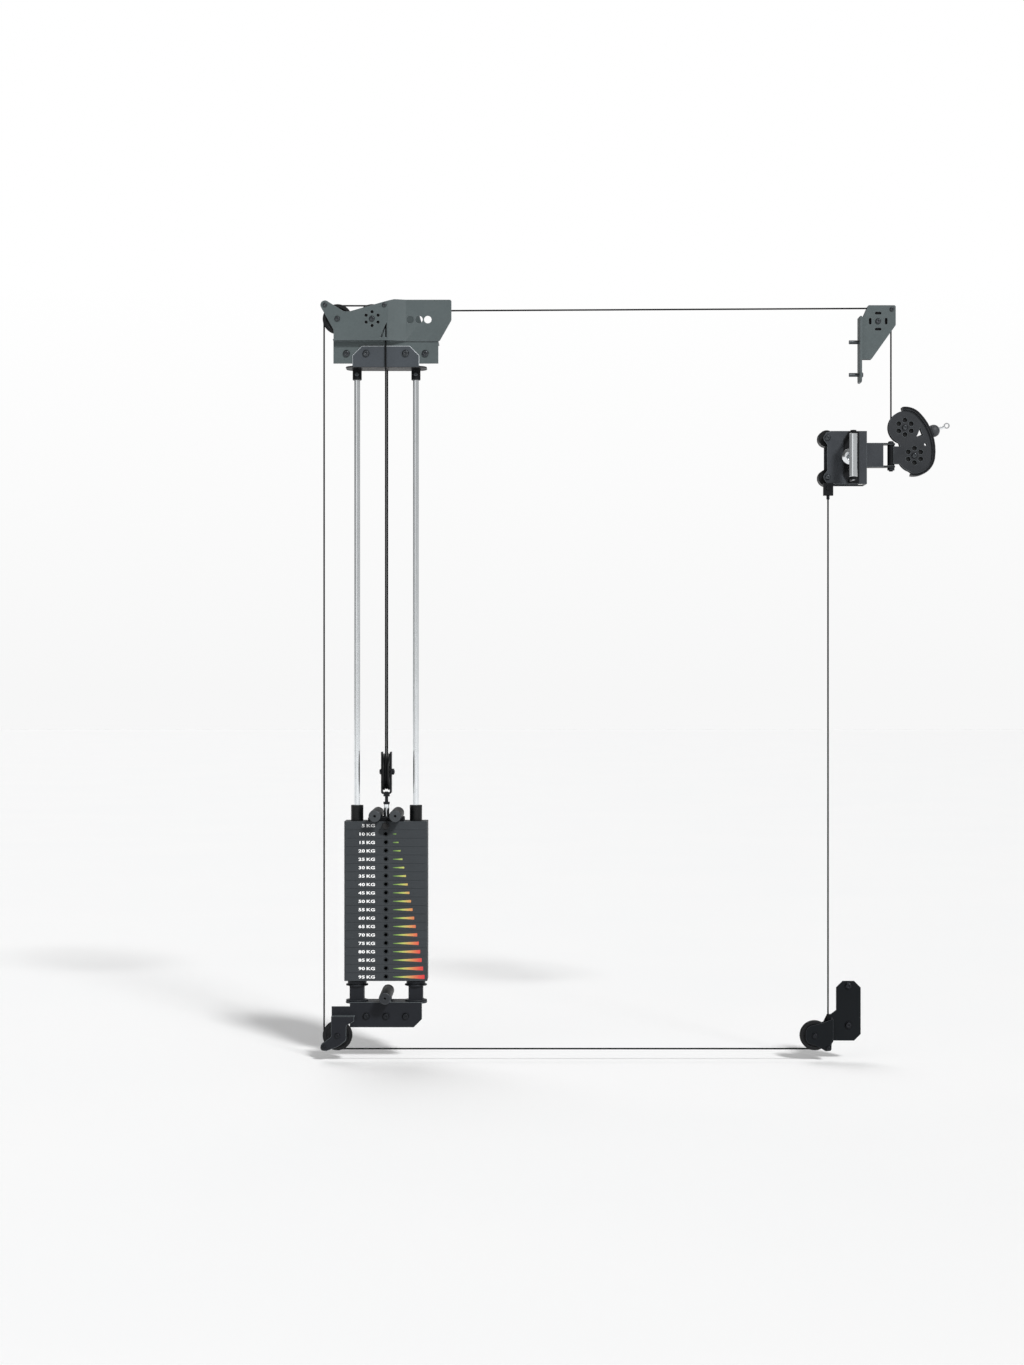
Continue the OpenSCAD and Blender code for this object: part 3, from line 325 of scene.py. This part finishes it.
for side, rod in ROD_SIDES:
    turns = [math.radians(a) for a in range(0, 360, 12)]
    ring = [(rod + socket_round * math.cos(t), MIDDLE + socket_round * math.sin(t), socket_seam)
            for t in turns]
    weld("weld_socket_" + side, "mounts", ring, black_paint, 0.0016, True)

# The foot and base brackets are steel, bolted to the rack near the floor, and carry the two low
# pulleys. Two square posts with round flanges, welded at both ends, are bored for the guide rods.
base_paint = paint("base_paint", (0.0085, 0.01, 0.0135), 0.48, gloss=0.2)
foot_paint = paint("foot_paint", (0.0034, 0.0048, 0.0063), 0.5, gloss=0.13)
# The paler edge colour of the dark parts is a painted highlight along their rounded edges.
dark_part_edge_highlight = paint("dark_part_edge_highlight", (0.045, 0.049, 0.055), 0.36, gloss=0.4)
dress("foot_bracket", foot_paint, dark_part_edge_highlight)
dress("base_bracket", base_paint, pale_edge_highlight, 0.0008)
dress("base_posts", base_paint, dark_part_edge_highlight)
post_half = 0.0222
for side, rod in ROD_SIDES:
    for flange, seam in (("foot", 0.0465), ("head", 0.0900)):
        square = [(rod + right * post_half, MIDDLE + back * post_half, seam)
                  for right, back in ((-1, -1), (1, -1), (1, 1), (-1, 1))]
        weld(f"weld_post_{flange}_{side}", "mounts", square, base_paint, 0.0014, True)

# The add-on bars are turned steel with a painted disc in front. One lies at the stack's foot, the
# others in two notched steel plates on the head plate.
arm_paint = paint("arm_paint", (0.0165, 0.0188, 0.0222))
bar_paint = paint("bar_paint", (0.036, 0.041, 0.045), 0.5)
disc_back = -0.066
for node, disc_paint in (("base_bar", arm_paint), ("head_bars", bar_paint)):
    dress(node, black_paint, dark_part_edge_highlight, other=disc_paint, where=lambda at: at.y < disc_back)
dress("bar_cradle", black_paint, dark_part_edge_highlight)


# Bolts and nuts are zinc plated steel. In front near the floor, and where the yoke and the arm are
# held, they are dark oxidised steel.
def metal(name, colour, rough, streak, depth=0.00002):
    """Bare or plated metal with lathe or drawing marks across the stretched direction."""
    made = Material(name, Metallic=1.0)
    marks = made.noise(180, 3, streak)
    tone = marks * 0.5 + made.noise(9, 2) * 0.5
    made.colour(tone.ramp((0.3, shade(colour, 0.88)), (0.7, colour)))
    dull = marks * 0.6 + made.noise(35, 3) * 0.4
    made.roughness(dull.clamp(0.3, 0.7, rough * 0.6, rough * 1.5))
    return made.bump(marks, depth).data


def near_floor(at):
    return at.z < 0.1 and at.y < 0.035


zinc = metal("zinc", (0.08, 0.087, 0.094), 0.32, (1, 1, 1), 0.00004)
oxide = metal("oxide", (0.03, 0.032, 0.036), 0.4, (1, 1, 1), 0.00004)
for node in ("mount_bolts", "pulley_bolts"):
    dress(node, zinc, width=0.0004, other=oxide, where=near_floor)
for node, material, width in (
    ("wheel_bolts", zinc, 0.0004), ("arm_bolts", zinc, 0.0004), ("rod_screws", zinc, 0.0003),
    ("lift_stud", oxide, 0.0004), ("yoke_bolt", oxide, 0.0004), ("swivel_bolt", oxide, 0.0004),
):
    dress(node, material, width=width)


# The guide rods and the selector's stem are chromed steel bars. Black bushings in the head plate
# slide on the rods, and rubber rings under the stack soften its landing.
def coat_node(node, material):
    """Gives a CAD node that keeps its shape a better material."""
    mesh = frame["nodes"][node].data
    mesh.materials.clear()
    mesh.materials.append(material)


def plastic(name, colour, rough, pebble=0.00006, gloss=0.35):
    """Moulded plastic or rubber: a fine pebbled skin with slightly shinier worn spots."""
    made = Material(name, Specular_IOR_Level=gloss)
    made.colour((made.noise(11, 3) * 0.6 + made.noise(260, 2) * 0.4).ramp(
        (0.3, shade(colour, 0.8)), (0.55, colour), (0.75, shade(colour, 1.35))))
    made.roughness(made.noise(30, 4).clamp(0.3, 0.7, rough - 0.08, rough + 0.12))
    cells = Socket.add(made.tree, "TexVoronoi", {"Vector": made.place, "Scale": 1500}, "Distance")
    return made.bump(cells, pebble).data


chrome = metal("chrome", (0.87, 0.9, 0.92), 0.13, (1, 1, 0.02))
rubber = plastic("rubber", (0.009, 0.009, 0.0095), 0.72, 0.00015)
bushing_plastic = plastic("bushing_plastic", (0.0045, 0.005, 0.0055), 0.28, gloss=0.25)
coat_node("guide_rods", chrome)
coat_node("selector_stem", chrome)
dress("guide_bushings", bushing_plastic, width=0.0008)
dress("bump_stops", rubber, width=0.001, other=oxide, where=near_floor)

# The weight plates are flat steel slabs with a rough grey coat. Their weights are printed in white,
# in fives from the head plate down, with a scale from green to red beside the pin's holes.
plate_paint = paint("plate_paint", (0.0305, 0.035, 0.0392), 0.55, 0.0002, 0.22)
dress("weight_plates", plate_paint, plate_paint, 0.0003)
dress("head_plate", plate_paint, dark_part_edge_highlight, 0.0004)
plate_low, plate_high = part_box("head_plate")
plate_step, lower_plates = 0.0256, 18
middle_height = (plate_low.z + plate_high.z) / 2
print_face = plate_low.y - 0.00012
ink = Material("white_ink", Roughness=0.55)
ink.colour(ink.noise(400, 3).ramp((0.3, (0.74, 0.75, 0.75)), (0.6, (0.9, 0.9, 0.9))))
scale_ink = Material("scale_ink")
across_plate = Socket.add(scale_ink.tree, "SeparateXYZ", {0: scale_ink.place}, "X")
ragged = across_plate + scale_ink.noise(300, 2) * 0.004
scale_ink.colour(ragged.clamp(0.02, 0.122).ramp(
    (0.0, (0.06, 0.15, 0.03)), (0.15, (0.16, 0.29, 0.05)), (0.34, (0.4, 0.44, 0.1)),
    (0.5, (0.52, 0.3, 0.09)), (0.66, (0.56, 0.16, 0.06)), (0.82, (0.58, 0.06, 0.04)),
    (1.0, (0.52, 0.02, 0.03))))
scale_ink.roughness(scale_ink.noise(200, 2).clamp(0.3, 0.7, 0.45, 0.6))


def weight_label(text, height):
    """Flat letters, stretched wide, that end left of the pin's holes."""
    curve = bpy.data.curves.new("label", "FONT")
    curve.body, curve.size, curve.align_x = text, 0.0125, "RIGHT"
    curve.offset, curve.resolution_u = 0.0004, 3
    curve.space_character, curve.space_word = 1.08, 0.55
    holder = bpy.data.objects.new("label", curve)
    bpy.context.collection.objects.link(holder)
    bpy.context.view_layer.update()
    mesh = bpy.data.meshes.new_from_object(holder)
    bpy.data.objects.remove(holder)
    mesh.transform(Matrix.Translation((-0.0322, print_face, height - 0.0045))
                   @ Matrix.Rotation(math.radians(90), 4, "X") @ Matrix.Diagonal((1.5, 1, 1, 1)))
    return mesh


def labels(name, rows, body):
    work = bmesh.new()
    for row in rows:
        mesh = weight_label(f"{5 * (row + 1)} KG", middle_height - row * plate_step)
        work.from_mesh(mesh)
        bpy.data.meshes.remove(mesh)
    return finish_piece(from_bmesh(name, work), body, [ink.data])


labels("head_label", [0], "lift")
labels("plate_labels", range(1, lower_plates + 1), "mounts")
scale = bmesh.new()
start, tip = 0.0221, 0.0012
for row in range(1, lower_plates + 1):
    share = row / lower_plates
    reach = start + 0.095 * share ** 0.82
    half = 0.0014 + 0.0050 * share
    at = middle_height - row * plate_step
    outline = ((start, at - 0.0009), (reach, at - half), (reach + tip, at - half * 0.75),
               (reach + tip, at + half * 0.75), (reach, at + half), (start, at + 0.0009))
    scale.faces.new([scale.verts.new((x, print_face, z)) for x, z in outline])
bmesh.ops.recalc_face_normals(scale, faces=scale.faces)
finish_piece(from_bmesh("plate_scale", scale), "mounts", [scale_ink.data])

# The selector pin is a chromed rod with a moulded knob, pushed through a plate into the stem. The
# floating pulley's yoke is a bent steel strap, held to the stem by a threaded stud.
dress("selector_pin", chrome, width=0.001)
dress("selector_knob", rubber, width=0.0008)
dress("pulley_yoke", black_paint, dark_part_edge_highlight)

# The pulleys and the trolley's wheels are moulded black plastic on ball bearings of ground steel
# or, for the wheels, straight on their bolts.
wheel_plastic = plastic("wheel_plastic", (0.0045, 0.005, 0.0058), 0.38, gloss=0.2)
ground = metal("ground", (0.45, 0.47, 0.49), 0.25, (8, 0.2, 8))
for node in node_body:
    if node.endswith(("_pulley", "_wheel")):
        dress(node, wheel_plastic, width=0.0005)
    if node.endswith(("_bearing", "_bearings")):
        coat_node(node, ground)


# The trolley is a welded steel frame that rolls on the upright, with pale plastic pads against its
# side. A pull pin with a fluted chrome knob locks it, and a chromed bar is the grip.
def lathe(start, way, profile, sides=64):
    """Spins a profile of (distance along, radius) round an axis and closes its two ends."""
    work = bmesh.new()
    way = way.normalized()
    out = way.orthogonal().normalized()
    line = [work.verts.new(start + distance * way + radius * out) for distance, radius in profile]
    edges = [work.edges.new(pair) for pair in zip(line, line[1:])]
    bmesh.ops.spin(work, geom=line + edges, cent=start, axis=way, angle=2 * math.pi, steps=sides,
                   use_merge=True)
    bmesh.ops.edgeloop_fill(work, edges=[edge for edge in work.edges if edge.is_boundary])
    bmesh.ops.recalc_face_normals(work, faces=work.faces)
    return work


Y = Vector((0, 1, 0))
trolley_paint = paint("trolley_paint", (0.0275, 0.0315, 0.0375))
pad_plastic = plastic("pad_plastic", (0.6, 0.59, 0.55), 0.4)
pivot_low, pivot_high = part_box("swivel_bolt")
lugs_left = pivot_low.x - 0.012
dress("trolley_frame", trolley_paint, pale_edge_highlight, other=black_paint,
      where=lambda at: at.x > lugs_left)
# The latch housing is a raised black plate where the front plate lies in the shade of the pin and
# the grip: its black is painted shade.
dress("latch_housing", black_paint, dark_part_edge_highlight, 0.0005)
dress("handle_brackets", black_paint, dark_part_edge_highlight)
dress("cable_anchor", black_paint, dark_part_edge_highlight)
dress("handle_grip", chrome, width=0.001)
dress("lock_pin", chrome)
dress("guide_pads", pad_plastic, width=0.001)
hinge_middle, hinge_half, side_wall = 1.7130, 0.037, 1.4665
hinge_low, hinge_high = hinge_middle - hinge_half, hinge_middle + hinge_half
box_line = [(side_wall, depth, height) for depth, height in (
    (0.0173, hinge_low), (0.0577, hinge_low), (0.0577, hinge_high), (0.0173, hinge_high))]
weld("weld_hinge_box", "trolley", box_line, trolley_paint, 0.0017, True)

knob_low, knob_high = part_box("lock_knob")
knob_back = Vector(((knob_low.x + knob_high.x) / 2, knob_high.y, (knob_low.z + knob_high.z) / 2))
rim, flutes, flute_depth = 0.0245, 24, 0.0009
knob = lathe(knob_back, -Y, (
    (0.0, 0.0165), (0.0004, 0.017), (0.0036, 0.017), (0.004, 0.0205), (0.0046, 0.0235),
    (0.0054, rim), (0.0108, rim), (0.0118, 0.0238), (0.0130, 0.0226), (0.0168, 0.0175),
    (0.0182, 0.0155), (0.0188, 0.0138), (0.019, 0.012), (0.0184, 0.0108), (0.0182, 0.006),
    (0.0184, 0.001)), 96)
for vert in knob.verts:
    spoke = Vector((vert.co.x - knob_back.x, 0, vert.co.z - knob_back.z))
    if spoke.length > rim - 0.0001:
        wave = 0.5 + 0.5 * math.cos(flutes * math.atan2(spoke.z, spoke.x))
        vert.co -= flute_depth * wave * spoke.normalized()
finish_piece(from_bmesh("lock_knob_fluted", knob), "latch", [chrome], ["lock_knob"])

# The arm is a flat welded steel frame that swivels on the trolley, with two pulleys inside a
# guard. It is grey, but for the black barrel that turns on the hinge bolt.
barrel_right = pivot_high.x + 0.004
dress("arm_frame", arm_paint, pale_edge_highlight, other=black_paint, where=lambda at: at.x < barrel_right)
dress("arm_guard", black_paint, dark_part_edge_highlight, 0.0012)

# The cable is steel wire rope in a black plastic coat that lets the strands show. Its planes,
# radii and axles are those of the CAD model.
CABLE = 0.0025
PITCH = 0.041
NEAR, REAR = -0.014, 0.089
TOP = 2.123
LOW = -0.0565
X = Vector((1, 0, 0))
strands, lay = 7, 0.042
coat = Material("cable_coat", Specular_IOR_Level=0.12)
route = Socket.add(coat.tree, "UVMap", {}, uv_map="route")
along, around = (Socket.add(coat.tree, "SeparateXYZ", {0: route}, letter) for letter in "XY")
twist = along * (2 * math.pi * strands / lay) + around * (2 * math.pi * strands)
coat.colour(coat.noise(60, 3).ramp((0.3, (0.0022, 0.0024, 0.0028)), (0.7, (0.0055, 0.006, 0.0068))))
coat.roughness(coat.noise(90, 3).clamp(0.3, 0.7, 0.45, 0.6))
coat.bump(twist.math("SINE") * 0.8 + coat.noise(900, 1) * 0.2, 0.0002)


def arc(centre, y, radius, start, stop, steps=24):
    angles = [math.radians(start + (stop - start) * i / steps) for i in range(steps + 1)]
    return [Vector((centre[0] + radius * math.cos(a), y, centre[1] + radius * math.sin(a)))
            for a in angles]


def cable(name, points, side, body, replaced):
    """A stretch of cable along points. side is a direction that is never along it."""
    work = sweep(points, [CABLE] * len(points), 20, lambda ahead: ahead.cross(side), True)
    return finish_piece(from_bmesh(name, work), body, [coat.data], replaced)


def strand_between(name, low, high, replaced, side=X):
    """A straight length of cable whose two ends ride on different bodies."""
    piece = cable(name, [Vector(low), Vector(high)], side, None, replaced)
    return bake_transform(piece)


foot, base, outer, inner = (1.3055, LOW), (-0.1465, LOW), (-0.1465, TOP), (-0.041, TOP)
lower_run = (arc(foot, NEAR, PITCH, 0, -90) + arc(base, NEAR, PITCH, 270, 180)
             + arc(outer, NEAR, PITCH, 180, 90) + arc(inner, NEAR, PITCH, 90, 0))
cable("cable_lower", lower_run, Y, "mounts", ["cable_lower_run"])
rear, corner = (0.041, TOP), (1.505, TOP)
upper_run = arc(rear, REAR, PITCH, 180, 90) + arc(corner, MIDDLE, PITCH, 90, 0)
cable("cable_upper", upper_run, Y, "mounts", ["cable_upper_run"])
pulley_low, pulley_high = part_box("floating_pulley")
loop_height, loop_radius = (pulley_low.z + pulley_high.z) / 2, 0.0515
loop = [Vector((0, MIDDLE + loop_radius * math.cos(t), loop_height + loop_radius * math.sin(t)))
        for t in (math.pi + math.pi * i / 32 for i in range(33))]
cable("cable_loop", loop, X, "lift", ["cable_pulley_loop"])
anchor_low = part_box("cable_anchor")[0].z
front = foot[0] + PITCH
strand_between("cable_front", (front, NEAR, LOW), (front, NEAR, anchor_low + 0.012),
               ["cable_trolley_strand"])
arm_axle = Vector((1.587, MIDDLE, 1.798))
to_arm = corner[0] + PITCH
strand_between("cable_to_arm", (to_arm, MIDDLE, arm_axle.z), (to_arm, MIDDLE, TOP),
               ["cable_arm_strand"])
for place, depth in (("near", NEAR), ("rear", REAR)):
    strand_between("cable_lift_" + place, (0, depth, loop_height), (0, depth, TOP),
                   ["cable_lift_strands"])
arm_loop = arc((arm_axle.x, arm_axle.z), MIDDLE, PITCH, 180, 291)
cable("cable_on_arm", arm_loop, Y, "arm", ["cable_arm_loop"])
exit_angle = math.radians(21)
exit_way = Vector((math.cos(exit_angle), 0, math.sin(exit_angle)))
exit_from = arm_axle + PITCH * Vector((math.sin(exit_angle), 0, -math.cos(exit_angle)))
mouth = exit_from + 0.0718389 * exit_way
strand_between("cable_exit", tuple(exit_from), tuple(mouth + 0.004 * exit_way),
               ["cable_arm_loop"], Y)

# The cable's fixed end is held in the trolley's anchor. A waisted steel ferrule is swaged on the
# cable just below it.
ferrule = lathe(Vector((front, NEAR, anchor_low + 0.0005)), Vector((0, 0, -1)), (
    (0.0, 0.0046), (0.0008, 0.0050), (0.004, 0.0050), (0.0046, 0.0044), (0.0056, 0.0044),
    (0.0062, 0.0050), (0.011, 0.0050), (0.0122, 0.0040), (0.0126, 0.0030)), 32)
finish_piece(from_bmesh("anchor_ferrule", ferrule), "trolley", [oxide])

# The ball stop is moulded rubber, flat against the guard, with a steel bush where the cable leaves
# it. A turned steel eye ends the cable and takes a hook.
ball_rubber = plastic("ball_rubber", (0.034, 0.037, 0.041), 0.5, 0.0001)
turned = metal("turned", (0.82, 0.84, 0.86), 0.16, (0.3, 0.3, 6))
ball_start = mouth + 0.0003 * exit_way
ball_middle, ball_radius, flat_lip = 0.008, 0.019, 0.0022
angles = [math.radians(a) for a in range(70, 171, 5)]
dome = [(ball_middle - ball_radius * math.cos(a), ball_radius * math.sin(a)) for a in angles]
lip = [(0.0, 0.0155), (0.0002, 0.0166), (0.0012, 0.01775)]
ball = lathe(ball_start, exit_way, lip + [point for point in dome if point[0] > flat_lip])
finish_piece(from_bmesh("ball_stop_moulded", ball), "cable_ball", [ball_rubber], ["ball_stop"])
bush = lathe(ball_start + 0.0262 * exit_way, exit_way, (
    (0.0, 0.0058), (0.0012, 0.0060), (0.0020, 0.0056), (0.0022, 0.0040)), 40)
finish_piece(from_bmesh("ball_bush", bush), "cable_ball", [turned])
dress("cable_end", turned, width=0.0005)

# The floor and the light: a pale floor at the rack's feet and a plain bright surround that is a
# little darker to the left, so that polished rods have an edge.
floor_height, floor_half = -0.1345, 60
floor_sheet = bmesh.new()
bmesh.ops.create_grid(floor_sheet, x_segments=1, y_segments=1, size=floor_half,
                      matrix=Matrix.Translation((0, 0, floor_height)))
floor = from_bmesh("floor", floor_sheet)
pale = Material("floor", Roughness=0.7)
pale.colour(pale.noise(0.8, 3).ramp((0.3, (0.968, 0.971, 0.974)), (0.7, (0.98, 0.98, 0.98))))
floor.data.materials.append(pale.data)

world = bpy.data.worlds.new("world")
world.use_nodes = True
bpy.context.scene.world = world
tree = world.node_tree
background = tree.nodes["Background"]
toward = Socket.add(tree, "TexCoord", {}, "Generated")
sideways, upwards = (Socket.add(tree, "SeparateXYZ", {0: toward}, letter) for letter in "XZ")
light = sideways.clamp(-0.8, 0.3, 0.08, 0.3) + upwards.clamp(0.0, 0.25, 0.3, 0.0)
backdrop = upwards.clamp(0.0, 0.16, 0.93, 1.0)
seen = Socket.add(tree, "LightPath", {}, "Is Camera Ray")
(seen * backdrop + (1 - seen) * light).feed(background.inputs["Strength"])
background.inputs["Color"].default_value = (1, 1, 1, 1)


def sun(name, toward, power, spread):
    """A soft distant light that shines from the direction toward."""
    data = bpy.data.lights.new(name, "SUN")
    data.energy, data.angle = power, math.radians(spread)
    made = bpy.data.objects.new(name, data)
    made.rotation_euler = Vector(toward).to_track_quat("Z", "Y").to_euler()
    bpy.context.collection.objects.link(made)


sun("key", (0.4, -0.8, 0.64), 2.9, 9)
sun("fill", (-0.6, -1.0, 0.5), 0.3, 50)
sun("rim", (-0.25, 0.8, 0.9), 0.8, 40)
